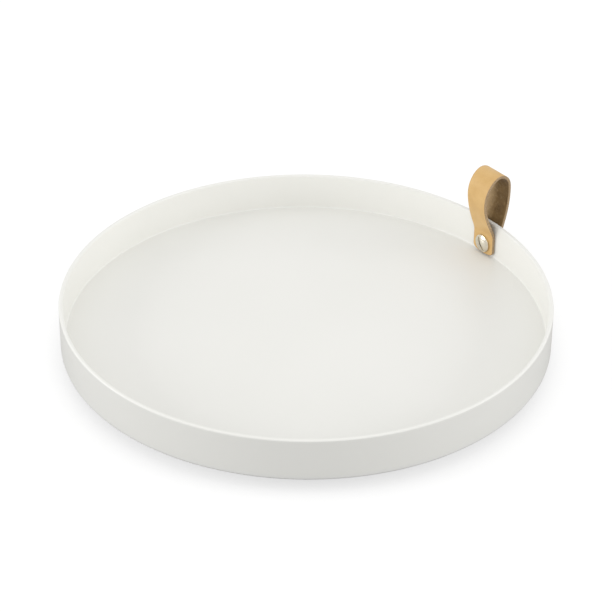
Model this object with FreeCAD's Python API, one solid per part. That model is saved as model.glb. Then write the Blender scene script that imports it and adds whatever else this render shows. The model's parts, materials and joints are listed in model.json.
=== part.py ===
"""Lazy susan turntable: a shallow round tray that turns on a ball race over a low base, with a leather loop handle.

Millimetres. +Z is up, z = 0 is the table top, and Z is the spin axis. +X points from the axis to the handle.
"""

import FreeCAD
import Part

import math
import os

Vector = FreeCAD.Vector
ORIGIN = Vector(0, 0, 0)
UP = Vector(0, 0, 1)

# Tray: a round floor with an upright wall whose foot hangs below the floor as a skirt.
TRAY_RADIUS = 150.0
WALL_HEIGHT = 27.5
WALL = 2.6
SKIRT = 3.5             # wall's lower edge to the top of the floor
FLOOR = 2.4
TRAY_GAP = 8.5          # table to the wall's lower edge
LIP_ROUND = 1.1
EDGE_ROUND = 1.6
SKIRT_ROUND = 0.4
FOOT_FILLET = 1.0       # inside, where the floor meets the wall
RIB = 1.6
TRAY_RIBS = 12
TRAY_RIB_DEPTH = 1.0

# Ball race between the tray and the base.
RACE_RADIUS = 68.0
RACE_WIDTH = 14.0
BALL_RADIUS = 2.5
BALLS = 16
BALL_GAP = 0.2          # between a ball and its grooves or its pocket
RACE_OPENING = 1.4      # ball centre up or down to the face that the groove is cut in
UPPER_RACE = 1.9        # how far the tray's race ring hangs below its floor
CAGE_WIDTH = 8.8
CAGE_GAP = 0.2          # above and below the cage

# Base: a thin disc with a raised rim, a race ring and a bearing collar.
BASE_RADIUS = 105.0
BASE_PLATE = 1.8
BASE_CLEARANCE = 1.4    # table to the plate
BASE_RIM = 2.2
BASE_RIM_HEIGHT = 4.8
BASE_RIBS = 8
COLLAR_RADIUS = 10.0
COLLAR_FOOT = 4.0       # the collar's foot is this much wider than the washer's recess
COLLAR_FOOT_HEIGHT = 2.2
COLLAR_TOP_GAP = 0.6    # collar to the tray's underside

# Pivot: a boss under the tray turns in the collar and is held by a screw and a washer.
BOSS_RADIUS = 6.0
RUNNING_GAP = 0.08
AXIAL_GAP = 0.2
WASHER = 0.8
WASHER_RADIUS = 9.0
WASHER_SIDE_GAP = 1.5
SCREW_RADIUS = 1.6
SCREW_FIT = 0.05
SCREW_LENGTH = 8.2
SCREW_HEAD_RADIUS = 4.0
SCREW_HEAD = 1.5
PILOT_SPARE = 0.4       # pilot hole beyond the screw's tip

# Anti-slip ring in a groove under the base.
FOOT_RING_RADIUS = 90.0     # middle of the ring
FOOT_RING_WIDTH = 10.0
FOOT_RING_DEPTH = 0.8       # how deep it sits in the base
FOOT_RING_ROUND = 0.5

# Handle: a leather strap folded over the wall, both ends on one two-part screw.
STRAP_WIDTH = 18.0
STRAP = 2.0
STRAP_GAP = 0.2         # strap to wall
STRAP_FOOT_GAP = 0.6    # floor to the strap's end
STRAP_END = 7.2         # screw to the strap's end
STRAP_END_CROWN = 1.8   # how far the rounded end bulges
STRAP_CORNER = 3.0
STRAP_STRAIGHT = 6.2    # screw to where the inner leg starts to bend
STRAP_STEP = 1.5        # the outer leg bends this much lower
LOOP_RISE = 35.5        # rim to the top of the loop
LOOP_IN = 13.1          # wall's outer face to the loop's inner bulge
LOOP_OUT = 8.3          # wall's outer face to the loop's outer bulge
POST_RADIUS = 2.5
POST_GAP = 0.1          # post in the wall
STRAP_HOLE_GAP = 0.2
STUD_RADIUS = 1.5
STUD_FIT = 0.05
CAP_RADIUS = 6.0
CAP = 2.5
CAP_EDGE = 1.1          # the caps are domed above this edge
CAP_GAP = 0.1
SLOT = 1.0
SLOT_DEPTH = 1.5
SLOT_TURN = 33.0        # degrees from upright, with the top towards +Y

# Heights and radii that follow.
RIM_TOP = TRAY_GAP + WALL_HEIGHT
FLOOR_TOP = TRAY_GAP + SKIRT
FLOOR_UNDER = FLOOR_TOP - FLOOR
WALL_IN = TRAY_RADIUS - WALL
PLATE_TOP = BASE_CLEARANCE + BASE_PLATE
GROOVE_RADIUS = BALL_RADIUS + BALL_GAP
RACE_HIGH = FLOOR_UNDER - UPPER_RACE
BALL_Z = RACE_HIGH - RACE_OPENING
RACE_LOW = BALL_Z - RACE_OPENING
RACE_IN = RACE_RADIUS - RACE_WIDTH / 2
RACE_OUT = RACE_RADIUS + RACE_WIDTH / 2
FOOT_RING_IN = FOOT_RING_RADIUS - FOOT_RING_WIDTH / 2
FOOT_RING_OUT = FOOT_RING_RADIUS + FOOT_RING_WIDTH / 2
FOOT_RING_TOP = BASE_CLEARANCE + FOOT_RING_DEPTH
COLLAR_BORE = BOSS_RADIUS + RUNNING_GAP
COLLAR_TOP = FLOOR_UNDER - COLLAR_TOP_GAP
BOSS_END = PLATE_TOP - AXIAL_GAP
RECESS_RADIUS = WASHER_RADIUS + WASHER_SIDE_GAP
COLLAR_FOOT_RADIUS = RECESS_RADIUS + COLLAR_FOOT
STRAP_LOW = FLOOR_TOP + STRAP_FOOT_GAP
HANDLE_Z = STRAP_LOW + STRAP_END
HALF_STRAP = STRAP / 2
# A flat strap on the hollow side of a round wall touches at its long edges first.
WALL_SAG = WALL_IN - math.sqrt(WALL_IN**2 - (STRAP_WIDTH / 2) ** 2)
INNER_LEG = WALL_IN - WALL_SAG - STRAP_GAP - HALF_STRAP
OUTER_LEG = TRAY_RADIUS + STRAP_GAP + HALF_STRAP
INNER_BEND = HANDLE_Z + STRAP_STRAIGHT
OUTER_BEND = INNER_BEND - STRAP_STEP


def at(radius, angle, z=0.0):
    """The point at a radius and an angle in degrees round the spin axis."""
    turn = math.radians(angle)
    return Vector(radius * math.cos(turn), radius * math.sin(turn), z)


def outline(corners):
    """A face in the XZ plane. Each corner is (x, z) or (x, z, radius), which rounds it with a tangent arc."""
    points = [Vector(c[0], 0, c[1]) for c in corners]
    radii = [c[2] if len(c) > 2 else 0.0 for c in corners]
    edges, starts, ends = [], [], []
    for i, corner in enumerate(points):
        back = (points[i - 1] - corner).normalize()
        ahead = (points[(i + 1) % len(points)] - corner).normalize()
        if not radii[i]:
            starts.append(corner)
            ends.append(corner)
            continue
        half = back.getAngle(ahead) / 2
        reach = radii[i] / math.tan(half)
        centre = corner + (back + ahead).normalize() * (radii[i] / math.sin(half))
        first, last = corner + back * reach, corner + ahead * reach
        middle = centre + (corner - centre).normalize() * radii[i]
        edges.append(Part.Arc(first, middle, last).toShape())
        starts.append(first)
        ends.append(last)
    for i in range(len(points)):
        a, b = ends[i], starts[(i + 1) % len(points)]
        if a.distanceToPoint(b) > 1e-6:
            edges.append(Part.makeLine(a, b))
    return Part.Face(Part.Wire(Part.__sortEdges__(edges)))


def turned(corners):
    """The solid that an outline makes when it is turned round the spin axis."""
    return outline(corners).revolve(ORIGIN, UP, 360)


def disc(radius, low, high, centre=ORIGIN):
    return Part.makeCylinder(radius, high - low, Vector(centre.x, centre.y, low), UP)


def ring(inner, outer, low, high):
    return disc(outer, low, high).cut(disc(inner, low - 1, high + 1))


def ribs(count, inner, outer, low, high):
    """Radial ribs, from one radius to another."""
    found = []
    for i in range(count):
        rib = Part.makeBox(outer - inner, RIB, high - low, Vector(inner, -RIB / 2, low))
        rib.rotate(ORIGIN, UP, (i + 0.5) * 360.0 / count)
        found.append(rib)
    return found


def groove():
    return Part.makeTorus(RACE_RADIUS, GROOVE_RADIUS, Vector(0, 0, BALL_Z), UP)


def post(radius, start, end, z=None):
    """A round bar along +X at the handle screw's height, from x = start to x = end."""
    height = HANDLE_Z if z is None else z
    return Part.makeCylinder(radius, end - start, Vector(start, 0, height), Vector(1, 0, 0))


def tray():
    """Floor, wall and skirt in one moulding, with the race ring, boss and ribs underneath."""
    shell = turned([
        (0, FLOOR_UNDER),
        (0, FLOOR_TOP),
        (WALL_IN, FLOOR_TOP, FOOT_FILLET),
        (WALL_IN, RIM_TOP, LIP_ROUND),
        (TRAY_RADIUS, RIM_TOP, LIP_ROUND),
        (TRAY_RADIUS, TRAY_GAP, EDGE_ROUND),
        (WALL_IN, TRAY_GAP, SKIRT_ROUND),
        (WALL_IN, FLOOR_UNDER, SKIRT_ROUND),
    ])
    rib_low = FLOOR_UNDER - TRAY_RIB_DEPTH
    overlap = 0.5
    pieces = [ring(RACE_IN, RACE_OUT, RACE_HIGH, FLOOR_UNDER + overlap)]
    pieces += [disc(BOSS_RADIUS, BOSS_END, FLOOR_UNDER + overlap)]
    pieces += ribs(TRAY_RIBS, COLLAR_FOOT_RADIUS + 2, RACE_IN + overlap, rib_low, FLOOR_UNDER + overlap)
    pieces += ribs(TRAY_RIBS, RACE_OUT - overlap, WALL_IN + overlap, rib_low, FLOOR_UNDER + overlap)
    shape = shell.multiFuse(pieces)
    shape = shape.cut(groove())
    shape = shape.cut(disc(SCREW_RADIUS, BOSS_END - 1, BOSS_END - WASHER + SCREW_LENGTH + PILOT_SPARE))
    return shape.cut(post(POST_RADIUS + POST_GAP, WALL_IN - 2, TRAY_RADIUS + 2)).removeSplitter()


def base():
    """Disc, raised rim, race ring, ribs and bearing collar in one moulding, with a groove underneath for the foot."""
    foot_top = PLATE_TOP + COLLAR_FOOT_HEIGHT
    shell = turned([
        (COLLAR_BORE, PLATE_TOP),
        (RECESS_RADIUS, PLATE_TOP),
        (RECESS_RADIUS, BASE_CLEARANCE, 0.4),
        (BASE_RADIUS, BASE_CLEARANCE, 1.0),
        (BASE_RADIUS, BASE_CLEARANCE + BASE_RIM_HEIGHT, 0.8),
        (BASE_RADIUS - BASE_RIM, BASE_CLEARANCE + BASE_RIM_HEIGHT, 0.8),
        (BASE_RADIUS - BASE_RIM, PLATE_TOP, 0.8),
        (RACE_OUT, PLATE_TOP, 0.5),
        (RACE_OUT, RACE_LOW, 0.4),
        (RACE_IN, RACE_LOW, 0.4),
        (RACE_IN, PLATE_TOP, 0.5),
        (COLLAR_FOOT_RADIUS, PLATE_TOP, 0.8),
        (COLLAR_FOOT_RADIUS, foot_top, 0.6),
        (COLLAR_RADIUS, foot_top, 0.8),
        (COLLAR_RADIUS, COLLAR_TOP, 0.6),
        (COLLAR_BORE, COLLAR_TOP, 0.5),
    ])
    sunk = PLATE_TOP - 0.5
    overlap = 0.6
    pieces = ribs(BASE_RIBS, COLLAR_FOOT_RADIUS - overlap, RACE_IN + overlap, sunk, RACE_LOW - 0.5)
    pieces += ribs(BASE_RIBS, RACE_OUT - overlap, BASE_RADIUS - BASE_RIM + overlap, sunk, RACE_LOW - 0.5)
    shape = shell.multiFuse(pieces).cut(groove())
    shape = shape.cut(ring(FOOT_RING_IN, FOOT_RING_OUT, BASE_CLEARANCE - 1, FOOT_RING_TOP))
    return shape.removeSplitter()


def ball(i):
    return Part.makeSphere(BALL_RADIUS, at(RACE_RADIUS, i * 360.0 / BALLS, BALL_Z))


def ball_cage():
    """A flat ring with one round pocket for each ball and a notch between neighbours."""
    low, high = RACE_LOW + CAGE_GAP, RACE_HIGH - CAGE_GAP
    shape = turned([
        (RACE_RADIUS - CAGE_WIDTH / 2, low, 0.4),
        (RACE_RADIUS + CAGE_WIDTH / 2, low, 0.4),
        (RACE_RADIUS + CAGE_WIDTH / 2, high, 0.4),
        (RACE_RADIUS - CAGE_WIDTH / 2, high, 0.4),
    ])
    cuts = []
    for i in range(BALLS):
        angle = i * 360.0 / BALLS
        cuts.append(disc(GROOVE_RADIUS, low - 1, high + 1, at(RACE_RADIUS, angle)))
        cuts.append(disc(1.6, low - 1, high + 1, at(RACE_RADIUS + CAGE_WIDTH / 2, angle + 180.0 / BALLS)))
    return shape.cut(Part.makeCompound(cuts))


def foot_ring():
    """A flat rubber ring that fills its groove and stands on the table."""
    return turned([
        (FOOT_RING_IN, 0, FOOT_RING_ROUND),
        (FOOT_RING_OUT, 0, FOOT_RING_ROUND),
        (FOOT_RING_OUT, FOOT_RING_TOP),
        (FOOT_RING_IN, FOOT_RING_TOP),
    ])


def pivot_washer():
    low = BOSS_END - WASHER
    face = outline([
        (SCREW_RADIUS + 0.3, low),
        (WASHER_RADIUS, low, 0.2),
        (WASHER_RADIUS, BOSS_END, 0.2),
        (SCREW_RADIUS + 0.3, BOSS_END),
    ])
    return face.revolve(ORIGIN, UP, 360)


def pivot_screw():
    """A pan-head screw, point up, with a cross recess in its head."""
    seat = BOSS_END - WASHER
    low = seat - SCREW_HEAD
    tip = seat + SCREW_LENGTH
    shank = SCREW_RADIUS - SCREW_FIT
    shape = turned([
        (0, low),
        (SCREW_HEAD_RADIUS, low, 1.1),
        (SCREW_HEAD_RADIUS, seat),
        (shank, seat),
        (shank, tip - 1),
        (0.5, tip),
        (0, tip),
    ])
    recess = []
    for turn in (0, 90):
        arm = Part.makeBox(3.6, 0.7, 1.0, Vector(-1.8, -0.35, low - 0.01))
        arm.rotate(ORIGIN, UP, turn)
        recess.append(arm)
    return shape.cut(recess[0].fuse(recess[1]))


def loop_curve():
    """The strap's centre line over the wall, from the top of one straight leg to the top of the other."""
    inner, outer = TRAY_RADIUS - LOOP_IN + HALF_STRAP, TRAY_RADIUS + LOOP_OUT - HALF_STRAP
    top = RIM_TOP + LOOP_RISE - HALF_STRAP
    rise = top - RIM_TOP
    neck = RIM_TOP - INNER_BEND
    points = [
        Vector(INNER_LEG, 0, INNER_BEND),
        Vector(INNER_LEG - 1.7, 0, INNER_BEND + 0.6 * neck),
        Vector(inner + 1.9, 0, RIM_TOP + 0.22 * rise),
        Vector(inner, 0, RIM_TOP + 0.50 * rise),
        Vector(inner + 2.1, 0, RIM_TOP + 0.81 * rise),
        Vector((inner + outer) / 2 + 1.5, 0, top),
        Vector(outer - 1.7, 0, RIM_TOP + 0.89 * rise),
        Vector(outer, 0, RIM_TOP + 0.66 * rise),
        Vector(outer - 2.2, 0, RIM_TOP + 0.14 * rise),
        Vector(OUTER_LEG + 1.1, 0, INNER_BEND + 0.5 * neck),
        Vector(OUTER_LEG, 0, OUTER_BEND),
    ]
    curve = Part.BSplineCurve()
    curve.interpolate(Points=points, InitialTangent=Vector(0, 0, 20), FinalTangent=Vector(0, 0, -20))
    return curve


def alongside(curve, offset):
    """A smooth curve at a fixed distance to one side of another, with both ends upright."""
    side, steps = Vector(0, 1, 0), 32
    first, last = curve.FirstParameter, curve.LastParameter
    points = []
    for i in range(steps + 1):
        u = first + (last - first) * i / steps
        points.append(curve.value(u) + curve.tangent(u)[0].cross(side) * offset)
    moved = Part.BSplineCurve()
    moved.interpolate(Points=points, InitialTangent=UP, FinalTangent=-UP)
    return moved


def handle_strap():
    """A strip of leather folded over the wall, with rounded ends and a hole in each."""
    centre = loop_curve()
    inner, outer = alongside(centre, HALF_STRAP), alongside(centre, -HALF_STRAP)

    def foot(point):
        return Vector(point.x, 0, STRAP_LOW)

    edges = [
        outer.toShape(),
        Part.makeLine(outer.EndPoint, foot(outer.EndPoint)),
        Part.makeLine(foot(outer.EndPoint), foot(inner.EndPoint)),
        Part.makeLine(foot(inner.EndPoint), inner.EndPoint),
        inner.toShape(),
        Part.makeLine(inner.StartPoint, foot(inner.StartPoint)),
        Part.makeLine(foot(inner.StartPoint), foot(outer.StartPoint)),
        Part.makeLine(foot(outer.StartPoint), outer.StartPoint),
    ]
    face = Part.Face(Part.Wire(edges))
    face.translate(Vector(0, -STRAP_WIDTH / 2, 0))
    strip = face.extrude(Vector(0, STRAP_WIDTH, 0))
    return strip.common(strap_outline()).cut(post(POST_RADIUS + STRAP_HOLE_GAP, WALL_IN - 10, TRAY_RADIUS + 10))


def strap_outline():
    """A block as wide as the strap, whose lower end is a shallow arc with rounded corners."""
    half, corner, top = STRAP_WIDTH / 2, STRAP_LOW + STRAP_END_CROWN, RIM_TOP + LOOP_RISE + 10
    start = TRAY_RADIUS - LOOP_IN - 10
    left, right = Vector(start, -half, corner), Vector(start, half, corner)
    edges = [
        Part.Arc(left, Vector(start, 0, STRAP_LOW), right).toShape(),
        Part.makeLine(right, Vector(start, half, top)),
        Part.makeLine(Vector(start, half, top), Vector(start, -half, top)),
        Part.makeLine(Vector(start, -half, top), left),
    ]
    block = Part.Face(Part.Wire(edges)).extrude(Vector(LOOP_IN + LOOP_OUT + 20, 0, 0))
    corners = [
        e for e in block.Edges
        if abs(e.BoundBox.ZMax - corner) < 1e-3 and e.BoundBox.ZLength < 1e-3 and e.BoundBox.XLength > 1
    ]
    return block.makeFillet(STRAP_CORNER, corners)


def cap(seat, outward):
    """A screw's round head: a low dome on a straight edge, which stands outward (+1 or -1) from x = seat."""
    flat = outline([
        (0, 0),
        (CAP_RADIUS, 0),
        (CAP_RADIUS, CAP_EDGE, 0.25),
        (0, CAP_EDGE),
    ]).revolve(ORIGIN, UP, 360)
    rise = CAP - CAP_EDGE
    base_radius = CAP_RADIUS - 0.3
    sphere = (base_radius**2 + rise**2) / (2 * rise)
    dome = Part.makeSphere(sphere, Vector(0, 0, CAP - sphere)).common(disc(base_radius, CAP_EDGE - 0.2, CAP))
    shape = flat.fuse(dome).removeSplitter()
    shape.rotate(ORIGIN, Vector(0, 1, 0), 90 * outward)
    shape.translate(Vector(seat, 0, HANDLE_Z))
    return shape


def inner_seat():
    return INNER_LEG - HALF_STRAP - CAP_GAP


def outer_seat():
    return OUTER_LEG + HALF_STRAP + CAP_GAP


def handle_screw():
    """The slotted half of the handle screw, with its head inside the tray."""
    seat = inner_seat()
    slot = Part.makeBox(SLOT_DEPTH + 1, SLOT, 4 * CAP_RADIUS, Vector(-1, -SLOT / 2, -2 * CAP_RADIUS))
    slot.rotate(ORIGIN, Vector(1, 0, 0), -SLOT_TURN)
    slot.translate(Vector(seat - CAP, 0, HANDLE_Z))
    stud = post(STUD_RADIUS, seat, TRAY_RADIUS)
    return cap(seat, -1).fuse(stud).cut(slot)


def handle_barrel():
    """The socket half of the handle screw: a domed head outside the wall on a hollow post through it."""
    seat = outer_seat()
    start = inner_seat() + CAP_GAP + 0.2
    tube = post(POST_RADIUS, start, seat).fuse(cap(seat, 1))
    return tube.cut(post(STUD_RADIUS + STUD_FIT, start - 1, TRAY_RADIUS + 0.5)).removeSplitter()


def save(name, shape):
    if not shape.isValid():
        raise ValueError(f"{name} is not a valid solid")
    shape.exportStep(f"parts/{name}.step")
    print(f"{name}: {len(shape.Solids)} solid, {shape.Volume:.1f} mm3")


def main():
    os.makedirs("parts", exist_ok=True)
    single = [tray, base, foot_ring, ball_cage, pivot_washer, pivot_screw, handle_strap, handle_screw, handle_barrel]
    for piece in single:
        save(piece.__name__, piece())
    for i in range(BALLS):
        save(f"ball_{i + 1:02d}", ball(i))


main()
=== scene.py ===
"""Looks for the lazy susan turntable: finishes for the CAD pieces, and the folded leather strap as a mesh.

Metres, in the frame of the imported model: z = 0 is the table top, Z is the spin axis and +X points to
the handle.
"""

import json
import math

import bpy
import numpy as np
from mathutils import Matrix, Vector


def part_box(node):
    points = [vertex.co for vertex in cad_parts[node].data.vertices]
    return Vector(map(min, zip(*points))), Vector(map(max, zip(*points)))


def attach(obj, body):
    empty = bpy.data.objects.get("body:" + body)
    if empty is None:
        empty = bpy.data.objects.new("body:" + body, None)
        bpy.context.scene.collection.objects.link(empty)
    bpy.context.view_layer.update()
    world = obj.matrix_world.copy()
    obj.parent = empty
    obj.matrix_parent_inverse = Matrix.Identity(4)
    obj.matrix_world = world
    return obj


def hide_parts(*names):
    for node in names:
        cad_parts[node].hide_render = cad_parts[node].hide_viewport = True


MM = 0.001
BOUNCE_FADE_START = 3.7 * MM     # above the tray's lowest point, its boss: from here up the underside's white turns to cream, and that cream is painted warm bounce light
BOUNCE_FADE_END = 9.5 * MM

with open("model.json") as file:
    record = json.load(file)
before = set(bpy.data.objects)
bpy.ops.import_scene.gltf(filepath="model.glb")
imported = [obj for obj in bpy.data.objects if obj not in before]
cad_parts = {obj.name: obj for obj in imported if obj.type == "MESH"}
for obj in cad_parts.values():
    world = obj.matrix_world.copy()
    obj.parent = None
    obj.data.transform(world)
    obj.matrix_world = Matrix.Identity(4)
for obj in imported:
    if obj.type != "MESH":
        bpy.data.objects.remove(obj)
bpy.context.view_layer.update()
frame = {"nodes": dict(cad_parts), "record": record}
nodes = frame["nodes"]

tray_low, tray_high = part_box("tray")
strap_low, strap_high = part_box("handle_strap")
screw_low, screw_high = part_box("handle_screw")
RIM = tray_high.z
RADIUS = tray_high.y
PIVOT = (screw_low.z + screw_high.z) / 2


# ---------------------------------------------------------------- materials


class Shader:
    """One material's node tree, with short calls for the nodes that are used here."""

    def __init__(self, name, **fixed):
        self.material = bpy.data.materials.new(name)
        self.material.use_nodes = True
        self.tree = self.material.node_tree
        self.bsdf = self.tree.nodes["Principled BSDF"]
        self.coords = self.tree.nodes.new("ShaderNodeTexCoord").outputs["Object"]
        for socket, value in fixed.items():
            self.bsdf.inputs[socket.replace("_", " ")].default_value = value

    def add(self, kind, **settings):
        node = self.tree.nodes.new("ShaderNode" + kind)
        for key, value in settings.items():
            setattr(node, key, value)
        return node

    def feed(self, socket, value):
        if isinstance(value, bpy.types.NodeSocket):
            self.tree.links.new(value, socket)
        else:
            socket.default_value = value

    def stretched(self, x, y, z):
        node = self.add("Mapping")
        self.feed(node.inputs["Vector"], self.coords)
        node.inputs["Scale"].default_value = (x, y, z)
        return node.outputs["Vector"]

    def noise(self, scale, detail=3.0, rough=0.55, vector=None):
        node = self.add("TexNoise")
        self.feed(node.inputs["Vector"], vector or self.coords)
        node.inputs["Scale"].default_value = scale
        node.inputs["Detail"].default_value = detail
        node.inputs["Roughness"].default_value = rough
        return node.outputs["Fac"]

    def cells(self, scale):
        node = self.add("TexVoronoi")
        self.feed(node.inputs["Vector"], self.coords)
        node.inputs["Scale"].default_value = scale
        return node.outputs["Distance"]

    def ramp(self, value, low, high, to_low=0.0, to_high=1.0):
        node = self.add("MapRange")
        self.feed(node.inputs["Value"], value)
        node.inputs["From Min"].default_value = low
        node.inputs["From Max"].default_value = high
        node.inputs["To Min"].default_value = to_low
        node.inputs["To Max"].default_value = to_high
        return node.outputs["Result"]

    def math(self, kind, a, b):
        node = self.add("Math", operation=kind)
        self.feed(node.inputs[0], a)
        self.feed(node.inputs[1], b)
        return node.outputs["Value"]

    def blend(self, factor, one, two):
        node = self.add("Mix", data_type="RGBA")
        self.feed(node.inputs["Factor"], factor)
        self.feed(node.inputs["A"], one)
        self.feed(node.inputs["B"], two)
        return node.outputs["Result"]

    def attribute(self, name):
        return self.add("Attribute", attribute_name=name).outputs["Fac"]

    def axis(self, name):
        node = self.add("SeparateXYZ")
        self.feed(node.inputs["Vector"], self.coords)
        return node.outputs[name]

    def bump(self, value, depth, strength=1.0, under=None):
        node = self.add("Bump")
        self.feed(node.inputs["Height"], value)
        node.inputs["Distance"].default_value = depth
        node.inputs["Strength"].default_value = strength
        if under:
            self.feed(node.inputs["Normal"], under)
        return node.outputs["Normal"]

    def set(self, **links):
        for socket, value in links.items():
            self.feed(self.bsdf.inputs[socket.replace("_", " ")], value)
        return self.material


def white_plastic():
    """Satin moulded plastic: a little whiter underneath, turning to a brighter cream in the dish and wall
    that is painted warm bounce light, unevenly glossy.
    """
    s = Shader("white_plastic", IOR=1.49, Specular_IOR_Level=0.45)
    drift = s.ramp(s.noise(9.0, 2.0), 0.35, 0.65)
    under_white = s.blend(drift, (0.775, 0.775, 0.762, 1), (0.790, 0.789, 0.775, 1))
    # painted bounce light: the dish and wall get a brighter, creamier white than the underside
    dish_painted_bounce_cream = s.blend(drift, (0.826, 0.823, 0.785, 1), (0.840, 0.836, 0.800, 1))
    rise = s.ramp(s.axis("Z"), tray_low.z + BOUNCE_FADE_START, tray_low.z + BOUNCE_FADE_END)
    fleck = s.ramp(s.noise(1400.0, 1.0), 0.72, 0.80)
    colour = s.blend(rise, under_white, dish_painted_bounce_cream)
    colour = s.blend(s.math("MULTIPLY", fleck, 0.10), colour, (0.70, 0.69, 0.66, 1))
    flow = s.noise(30.0, 3.0, vector=s.stretched(1, 1, 3))
    rough = s.math("ADD", s.ramp(flow, 0.3, 0.7, 0.30, 0.40), s.ramp(s.noise(900.0), 0.3, 0.7, 0.0, 0.06))
    fine = s.bump(s.noise(2600.0, 2.0), 0.012 * MM, 0.35)
    wavy = s.bump(s.noise(38.0, 1.0), 0.10 * MM, 0.10, fine)
    return s.set(Base_Color=colour, Roughness=rough, Normal=wavy)


def cage_plastic():
    s = Shader("cage_plastic", IOR=1.5)
    colour = s.blend(s.ramp(s.noise(60.0), 0.35, 0.65), (0.50, 0.53, 0.56, 1), (0.57, 0.60, 0.62, 1))
    rough = s.ramp(s.noise(400.0), 0.3, 0.7, 0.34, 0.48)
    return s.set(Base_Color=colour, Roughness=rough, Normal=s.bump(s.noise(2200.0), 0.01 * MM, 0.4))


def rubber():
    s = Shader("foot_rubber", IOR=1.45, Specular_IOR_Level=0.3)
    dust = s.ramp(s.noise(240.0, 5.0, 0.7), 0.50, 0.75)
    colour = s.blend(dust, (0.36, 0.36, 0.35, 1), (0.50, 0.49, 0.47, 1))
    rough = s.ramp(s.noise(700.0), 0.3, 0.7, 0.68, 0.85)
    return s.set(Base_Color=colour, Roughness=rough, Normal=s.bump(s.cells(1500.0), 0.03 * MM, 0.5))


def metal(name, dark, light, low, high):
    """Polished metal with fine turning marks and small scratches."""
    s = Shader(name, Metallic=1.0)
    tarnish = s.ramp(s.noise(520.0, 4.0), 0.38, 0.68)
    marks = s.noise(1900.0, 2.0, vector=s.stretched(9, 1, 1))
    rough = s.ramp(s.math("ADD", s.noise(700.0), marks), 0.75, 1.25, low, high)
    under = s.bump(marks, 0.006 * MM, 0.35)
    return s.set(Base_Color=s.blend(tarnish, dark, light), Roughness=rough, Normal=under)


def leather_grain():
    """The smooth outer side: fine pores, faint creases across the bend, darker burnished edges."""
    s = Shader("leather_grain", IOR=1.46, Specular_IOR_Level=0.38, Coat_Weight=0.10, Coat_Roughness=0.35)
    cloud = s.ramp(s.noise(75.0, 4.0, 0.6), 0.36, 0.66)
    colour = s.blend(cloud, (0.635, 0.400, 0.150, 1), (0.705, 0.465, 0.195, 1))
    pores = s.cells(1150.0)
    pits = s.ramp(s.noise(2100.0, 3.0), 0.60, 0.76)
    creases = s.noise(420.0, 3.0, 0.6, s.stretched(1.0, 0.12, 1.0))
    colour = s.blend(s.math("MULTIPLY", s.ramp(creases, 0.58, 0.72), 0.22), colour, (0.56, 0.33, 0.13, 1))
    colour = s.blend(s.math("MULTIPLY", pits, 0.32), colour, (0.46, 0.26, 0.10, 1))
    worn = s.ramp(s.attribute("edge"), 0.2 * MM, 1.2 * MM, 0.45, 0.0)
    colour = s.blend(worn, colour, (0.56, 0.34, 0.15, 1))
    rough = s.math("ADD", s.ramp(s.noise(300.0, 4.0), 0.3, 0.7, 0.40, 0.54), s.math("MULTIPLY", pits, 0.08))
    under = s.bump(pores, 0.07 * MM, 0.55)
    under = s.bump(creases, 0.14 * MM, 0.45, under)
    under = s.bump(s.noise(2600.0, 3.0), 0.02 * MM, 0.5, under)
    return s.set(Base_Color=colour, Roughness=rough, Normal=under)


def leather_flesh():
    """The rough inner side: short brown nap with lighter fibres, and painted light that makes it paler
    towards the +Y long edge, as if light came into the loop from that side.
    """
    s = Shader("leather_flesh", IOR=1.4, Specular_IOR_Level=0.12, Sheen_Weight=0.25, Sheen_Roughness=0.6)
    fibres = s.noise(900.0, 6.0, 0.75, s.stretched(1.0, 0.45, 0.7))
    cloud = s.ramp(s.noise(160.0, 4.0, 0.65), 0.35, 0.68)
    colour = s.blend(cloud, (0.168, 0.094, 0.022, 1), (0.262, 0.158, 0.048, 1))
    colour = s.blend(s.math("MULTIPLY", s.ramp(fibres, 0.52, 0.72), 0.6), colour, (0.41, 0.28, 0.125, 1))
    # painted light: the nap turns paler towards +Y, standing in for light that enters the loop from that side
    painted_light_band = s.math("ADD", s.axis("Y"), s.ramp(fibres, 0.3, 0.7, -1.5 * MM, 1.5 * MM))
    colour = s.blend(s.ramp(painted_light_band, 0.5 * MM, 7.5 * MM, 0.0, 0.75), colour, (0.500, 0.360, 0.200, 1))
    under = s.bump(fibres, 0.16 * MM, 0.8)
    return s.set(Base_Color=colour, Roughness=0.9, Normal=s.bump(s.cells(1600.0), 0.06 * MM, 0.5, under))


def leather_edge():
    """The cut edge: pale fibres in layers along the strap, waxed and slightly pink."""
    s = Shader("leather_edge", IOR=1.45, Specular_IOR_Level=0.3)
    layers = s.noise(1500.0, 4.0, 0.65, s.stretched(1.0, 0.2, 1.0))
    colour = s.blend(s.ramp(layers, 0.36, 0.66), (0.300, 0.205, 0.115, 1), (0.470, 0.340, 0.205, 1))
    rough = s.ramp(s.noise(800.0), 0.3, 0.7, 0.5, 0.7)
    return s.set(Base_Color=colour, Roughness=rough, Normal=s.bump(layers, 0.08 * MM, 0.6))


def stage_white():
    s = Shader("stage_white", Specular_IOR_Level=0.0, Roughness=1.0)
    s.bsdf.inputs["Base Color"].default_value = (0.40, 0.40, 0.40, 1)
    s.bsdf.inputs["Emission Color"].default_value = (1, 1, 1, 1)
    s.bsdf.inputs["Emission Strength"].default_value = 0.64
    return s.material


def finish_cad():
    """Gives every CAD node the finish of its material slot in the record."""
    steel = metal("steel", (0.55, 0.55, 0.56, 1), (0.66, 0.66, 0.67, 1), 0.10, 0.22)
    nickel = metal("nickel", (0.66, 0.61, 0.51, 1), (0.82, 0.78, 0.68, 1), 0.08, 0.20)
    finishes = {
        "white_plastic": white_plastic(),
        "cage_plastic": cage_plastic(),
        "foot_rubber": rubber(),
        "steel": steel,
        "nickel": nickel,
        "leather": leather_grain(),
    }
    for part in frame["record"]["subparts"]:
        mesh = nodes[part["node"]].data
        mesh.materials.clear()
        mesh.materials.append(finishes[part["material_slot"]])
    return finishes


# ---------------------------------------------------------------- strap


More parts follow.
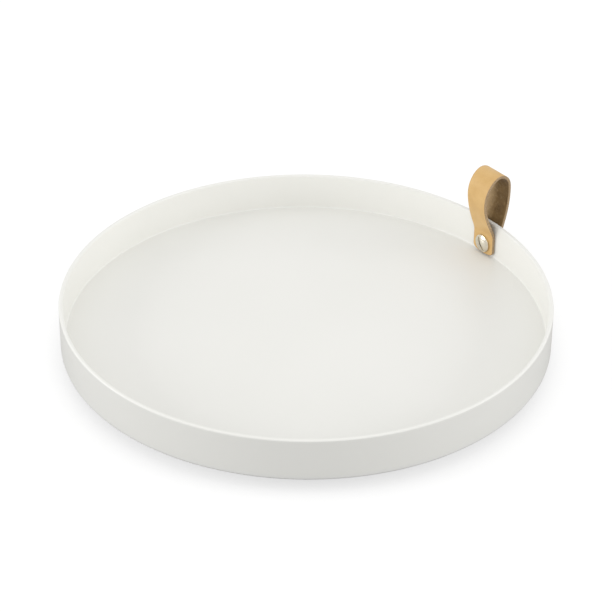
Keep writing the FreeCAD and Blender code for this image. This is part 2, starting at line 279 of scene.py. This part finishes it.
STRAP_HALF = (strap_high.y - strap_low.y) / 2
THICK = 2.0 * MM
CROWN = 1.8 * MM          # how far a rounded end bulges
CORNER = 3.0 * MM
EDGE = 0.42 * MM          # rounding of the cut edges
TWIST = 0.9 * MM          # how far the inner leg's two long edges lean apart from each other
TWIST_START = 14 * MM     # along the strap, from the inner end
TWIST_END = 62 * MM
TWIST_FADE = 24 * MM
HOLE = 2.7 * MM
STRAIGHT = 6.2 * MM       # straight leg above the screw, before the bend
STRAIGHT_STEP = 1.5 * MM  # how much less of it the outer leg has
END_ZONE = 4.5 * MM       # below the screw by this much, only the two leg ends are left
PATH_STEP = 0.25 * MM
BORDER_STEP = 0.2 * MM
ROW_STEP = 0.5 * MM
COLUMN_STEP = 0.55 * MM
END_REACH = 9.0 * MM      # over this length the rows turn from a rounded end to straight across
CUT_BAND = 0.20 * MM      # faces nearer to the border than this belong to the cut edge
SMOOTHING = 13            # path points averaged for a direction


def spline(points, first, last, step):
    """Points every step metres along a smooth curve through points, with fixed directions at its two ends."""
    p = np.array(points, float)
    h = np.linalg.norm(np.diff(p, axis=0), axis=1)
    n = len(p)
    a, b = np.zeros((n, n)), np.zeros((n, 2))
    a[0, 0] = a[-1, -1] = 1
    b[0], b[-1] = first, last
    for i in range(1, n - 1):
        a[i, i - 1:i + 2] = h[i], 2 * (h[i - 1] + h[i]), h[i - 1]
        b[i] = 3 * (h[i - 1] * (p[i + 1] - p[i]) / h[i] + h[i] * (p[i] - p[i - 1]) / h[i - 1])
    m = np.linalg.solve(a, b)
    out = []
    for i in range(n - 1):
        t = np.arange(0, 1, step / h[i])[:, None]
        out.append(
            (2 * t**3 - 3 * t**2 + 1) * p[i] + (t**3 - 2 * t**2 + t) * h[i] * m[i]
            + (3 * t**2 - 2 * t**3) * p[i + 1] + (t**3 - t**2) * h[i] * m[i + 1]
        )
    out.append(p[-1:])
    return np.concatenate(out)


def strap_path():
    """The strap's centre line in the XZ plane, from the end inside the tray to the end outside."""
    inner_leg = strap_leg(True)
    outer_leg = strap_leg(False)
    top = strap_high.z - THICK / 2
    rise = top - RIM
    left, right = strap_low.x + THICK / 2, strap_high.x - THICK / 2
    start = PIVOT + STRAIGHT
    neck = RIM - start
    bend = [
        (inner_leg, start),
        (inner_leg - 1.7 * MM, start + 0.6 * neck),
        (left + 1.9 * MM, RIM + 0.22 * rise),
        (left, RIM + 0.50 * rise),
        (left + 2.1 * MM, RIM + 0.81 * rise),
        ((left + right) / 2 + 1.5 * MM, top),
        (right - 1.7 * MM, RIM + 0.89 * rise),
        (right, RIM + 0.66 * rise),
        (right - 2.2 * MM, RIM + 0.14 * rise),
        (outer_leg + 1.1 * MM, start + 0.5 * neck),
        (outer_leg, start - STRAIGHT_STEP),
    ]
    middle = spline(bend, (0, 1), (0, -1), PATH_STEP)
    up = np.arange(strap_low.z, bend[0][1], PATH_STEP)
    down = np.arange(bend[-1][1] - PATH_STEP, strap_low.z, -PATH_STEP)
    legs = [np.stack([np.full(len(z), x), z], 1) for x, z in ((inner_leg, up), (outer_leg, down))]
    return np.concatenate([legs[0], middle, legs[1], [(outer_leg, strap_low.z)]])


def strap_leg(inside):
    """Where a leg's middle lies along X, read from the CAD strap's lower end."""
    found = [v.co.x for v in nodes["handle_strap"].data.vertices if v.co.z < PIVOT - END_ZONE]
    middle = (min(found) + max(found)) / 2
    leg = [x for x in found if (x < middle) == inside]
    return (min(leg) + max(leg)) / 2


def end_curve(columns):
    """A strap end's outline as (distance from the tip, sideways), at columns from -1 to 1 and in full."""
    arc = (STRAP_HALF**2 + CROWN**2) / (2 * CROWN)
    side = STRAP_HALF - CORNER
    corner_s = arc - math.sqrt((arc - CORNER) ** 2 - side**2)
    join = math.asin(side / (arc - CORNER))
    flat = [(arc - arc * math.cos(a), arc * math.sin(a)) for a in np.linspace(0, join, 60)]
    turn = np.linspace(join, math.pi / 2, 40)
    bend = [(corner_s - CORNER * math.cos(a), side + CORNER * math.sin(a)) for a in turn]
    half = np.array(flat + bend[1:])
    line = np.concatenate([half[::-1] * (1, -1), half[1:]])
    along = np.concatenate([[0], np.cumsum(np.linalg.norm(np.diff(line, axis=0), axis=1))])
    spots = (columns + 1) / 2 * along[-1]
    return np.stack([np.interp(spots, along, line[:, k]) for k in (0, 1)], 1), line


def clustered(length, spacing):
    """Distances from 0 to length that crowd at both ends, where the edges are rounded."""
    near = np.array([0, 0.04, 0.12, 0.24, 0.36, 0.50, 0.75]) * MM
    count = max(2, round((length - 2 * near[-1]) / spacing))
    middle = np.linspace(near[-1], length - near[-1], count + 1)
    return np.concatenate([near[:-1], middle, length - near[:-1][::-1]])


def strap_mesh():
    """A folded strip with rounded ends and edges; face slots are 0 grain, 1 flesh, 2 cut edge."""
    path = strap_path()
    run = np.concatenate([[0], np.cumsum(np.linalg.norm(np.diff(path, axis=0), axis=1))])
    length = run[-1]
    columns = clustered(2 * STRAP_HALF, COLUMN_STEP) / STRAP_HALF - 1
    ends, outline = end_curve(columns)
    rows = clustered(length, ROW_STEP)
    s, y = np.meshgrid(rows, columns * STRAP_HALF, indexing="ij")
    for tip in (False, True):
        away = length - rows if tip else rows
        near = away < END_REACH
        share = (away[near] / END_REACH)[:, None]
        curved_s = ends[:, 0] * (1 - share) + END_REACH * share
        s[near] = length - curved_s if tip else curved_s
        y[near] = ends[:, 1] * (1 - share) + columns * STRAP_HALF * share
    flat = np.stack([s, y], -1).reshape(-1, 2)
    along = np.arange(0, length, BORDER_STEP)
    along = along[(along > outline[-1, 0]) & (along < length - outline[-1, 0])]
    sides = np.stack([along, np.full(len(along), STRAP_HALF)], 1)
    border = np.concatenate([outline, (length, 0) + outline * (-1, 1), sides, sides * (1, -1)])
    edge = np.full(len(flat), 1.0)
    for part in np.array_split(border, 24):
        gap = np.linalg.norm(flat[:, None, :] - part[None], axis=2).min(1)
        edge = np.minimum(edge, gap)
    boundary = np.zeros(s.shape, bool)
    boundary[[0, -1], :] = boundary[:, [0, -1]] = True
    edge[boundary.reshape(-1)] = 0.0
    inset = np.clip(EDGE - edge, 0, EDGE)
    half = THICK / 2 - EDGE + np.sqrt(EDGE**2 - inset**2)

    x = np.interp(flat[:, 0], run, path[:, 0])
    z = np.interp(flat[:, 0], run, path[:, 1])
    tangent = np.gradient(path, run, axis=0)
    padded = np.pad(tangent, ((SMOOTHING // 2, SMOOTHING // 2), (0, 0)), "edge")
    mean = np.ones(SMOOTHING) / SMOOTHING
    tangent = np.stack([np.convolve(padded[:, k], mean, "valid") for k in (0, 1)], 1)
    tx, tz = (np.interp(flat[:, 0], run, tangent[:, k]) for k in (0, 1))
    size = np.hypot(tx, tz)
    out = np.stack([-tz / size, np.zeros(len(flat)), tx / size], 1)
    into, out_of = (flat[:, 0] - TWIST_START) / TWIST_FADE, (TWIST_END - flat[:, 0]) / TWIST_FADE
    bow = np.clip(into, 0, 1) * np.clip(out_of, 0, 1)
    bow = bow * bow * (3 - 2 * bow)
    lean = -TWIST * bow * flat[:, 1] / STRAP_HALF
    centre = np.stack([x, flat[:, 1], z], 1) + out * lean[:, None]
    skins = [centre + out * half[:, None], centre - out * half[:, None]]

    index = np.arange(s.size).reshape(s.shape)
    quads = np.stack([index[:-1, :-1], index[:-1, 1:], index[1:, 1:], index[1:, :-1]], -1).reshape(-1, 4)
    loop = np.concatenate([index[0, :-1], index[:-1, -1], index[-1, :0:-1], index[:0:-1, 0]])
    wall = np.stack([loop, np.roll(loop, -1), np.roll(loop, -1) + index.size, loop + index.size], 1)
    faces = np.concatenate([quads[:, ::-1], quads + index.size, wall])
    cut = edge[quads].mean(1) < CUT_BAND
    kind = np.concatenate([np.where(cut, 2, 0), np.where(cut, 2, 1), np.full(len(wall), 2)])
    mesh = bpy.data.meshes.new("leather_strap")
    mesh.from_pydata(np.concatenate(skins).tolist(), [], faces.tolist())
    mesh.polygons.foreach_set("material_index", kind.astype(np.int32))
    mesh.polygons.foreach_set("use_smooth", np.ones(len(faces), bool))
    stored = mesh.attributes.new("edge", "FLOAT", "POINT")
    stored.data.foreach_set("value", np.tile(edge, 2).astype(np.float32))
    mesh.update()
    return mesh


def cut_hole(piece):
    """Punches the screw's hole through both ends."""
    bpy.ops.mesh.primitive_cylinder_add(vertices=48, radius=HOLE, depth=40 * MM, location=(RADIUS, 0, PIVOT))
    punch = bpy.context.object
    punch.rotation_euler = (0, math.pi / 2, 0)
    modifier = piece.modifiers.new("hole", "BOOLEAN")
    modifier.operation = "DIFFERENCE"
    modifier.object = punch
    modifier.solver = "EXACT"
    bpy.context.view_layer.objects.active = piece
    bpy.ops.object.modifier_apply(modifier=modifier.name)
    bpy.data.objects.remove(punch)


def make_strap(grain):
    """Builds the strap that stands for the CAD node handle_strap."""
    mesh = strap_mesh()
    piece = bpy.data.objects.new("leather_strap", mesh)
    bpy.context.scene.collection.objects.link(piece)
    for material in (grain, leather_flesh(), leather_edge()):
        mesh.materials.append(material)
    cut_hole(piece)
    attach(piece, "handle")
    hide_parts("handle_strap")
    return piece


# ---------------------------------------------------------------- stage, lights, camera


def make_stage():
    """A pale floor whose glow falls on the floor alone."""
    bpy.ops.mesh.primitive_plane_add(size=24, location=(0, 0, -0.05 * MM))
    floor = bpy.context.object
    floor.name = "stage_floor"
    floor.data.materials.append(stage_white())
    lit = bpy.data.collections.new("lit_by_the_floor")
    lit.objects.link(floor)
    floor.light_linking.receiver_collection = lit


def soft_box(name, azimuth, elevation, distance, size, power, aim):
    """A square soft light on a sphere round the object; azimuth is from +X towards +Y."""
    light = bpy.data.lights.new(name, "AREA")
    light.size = size
    light.energy = power
    a, e = math.radians(azimuth), math.radians(elevation)
    place = Vector((math.cos(a) * math.cos(e), math.sin(a) * math.cos(e), math.sin(e))) * distance
    holder = bpy.data.objects.new(name, light)
    holder.location = place
    holder.rotation_euler = (aim - place).to_track_quat("-Z", "Y").to_euler()
    bpy.context.scene.collection.objects.link(holder)


CAMERA_AZIMUTH = 231.62      # from +X towards +Y, to the camera
CAMERA_ELEVATION = 32.75
CAMERA_DISTANCE = 1.4022
CAMERA_ROLL = 0.447
LENS = 135.29


def make_lights():
    world = bpy.data.worlds.new("world")
    world.use_nodes = True
    world.node_tree.nodes["Background"].inputs["Color"].default_value = (1, 1, 1, 1)
    world.node_tree.nodes["Background"].inputs["Strength"].default_value = 0.89
    bpy.context.scene.world = world
    aim = Vector((0, 0, RIM))
    soft_box("front_soft", CAMERA_AZIMUTH + 5, 30, 2.0, 1.4, 3.0, aim)
    soft_box("left_soft", CAMERA_AZIMUTH - 80, 16, 1.7, 0.8, 8.6, aim)
    soft_box("right_soft", CAMERA_AZIMUTH + 80, 16, 1.7, 0.8, 7.1, aim)


def make_camera():
    data = bpy.data.cameras.new("camera")
    data.lens = LENS
    data.sensor_width = 36.0
    data.clip_start = 0.05
    camera = bpy.data.objects.new("camera", data)
    a, e = math.radians(CAMERA_AZIMUTH), math.radians(CAMERA_ELEVATION)
    target = Vector((-0.08 * MM, 0.06 * MM, RIM - 7.73 * MM))
    back = Vector((math.cos(a) * math.cos(e), math.sin(a) * math.cos(e), math.sin(e)))
    camera.location = target + back * CAMERA_DISTANCE
    turn = (-back).to_track_quat("-Z", "Y").to_matrix() @ Matrix.Rotation(math.radians(CAMERA_ROLL), 3, "Z")
    camera.rotation_euler = turn.to_euler()
    bpy.context.scene.collection.objects.link(camera)
    bpy.context.scene.camera = camera


finishes = finish_cad()
make_strap(finishes["leather"])
make_stage()
make_lights()
make_camera()
bpy.context.scene.view_settings.view_transform = "Standard"
